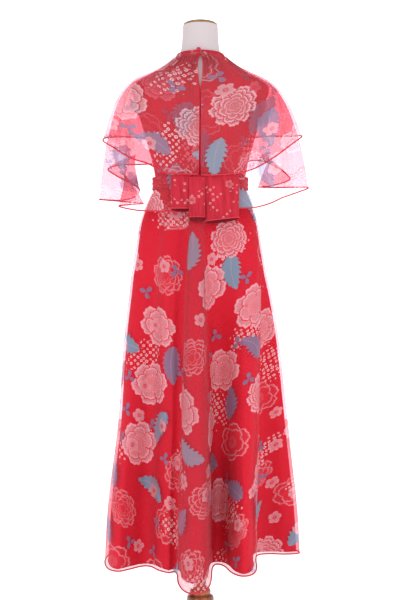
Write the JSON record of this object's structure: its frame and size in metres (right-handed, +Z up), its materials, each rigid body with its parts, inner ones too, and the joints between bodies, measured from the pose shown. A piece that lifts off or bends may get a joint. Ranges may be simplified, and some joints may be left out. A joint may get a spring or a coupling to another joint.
{
  "type": "maxi dress on a limbless dress form",
  "caption": "Sheer chiffon maxi dress with a tiered capelet, lined bodice, sash bow at the back and A-line overlay skirt, standing on a padded dress form with a round base",
  "frame": {"origin": "middle of the underside of the round base, on the floor", "axes": "+Z up along the pole; -Y is the front of the dress, +Y its back with the bow; +X is the wearer's left"},
  "size_m": [0.574, 0.5214, 1.7072],
  "materials": {
    "lining": "opaque plain-woven lining, matt",
    "chiffon": "sheer printed chiffon, soft matt",
    "form": "plain off-white cover over padding, matt",
    "brass": "darkened satin brass",
    "wood": "turned hardwood, reddish-brown varnish"
  },
  "bodies": {
    "root": {"form_base": "wood", "form_pole": "wood", "form_torso": "form", "form_neck_cap": "brass", "bodice_front": "lining", "bodice_back_left": "lining", "bodice_back_right": "lining", "skirt_lining_front": "lining", "skirt_lining_back": "lining", "skirt_overlay_front": "chiffon", "skirt_overlay_back": "chiffon", "waist_sash": "chiffon", "cape_upper": "chiffon", "cape_lower": "chiffon", "neck_binding": "chiffon", "neck_button": "chiffon", "neck_loop": "chiffon", "bow_knot": "chiffon", "bow_loop_left": "chiffon", "bow_loop_right": "chiffon", "bow_tail": "chiffon"}
  },
  "joints": []
}
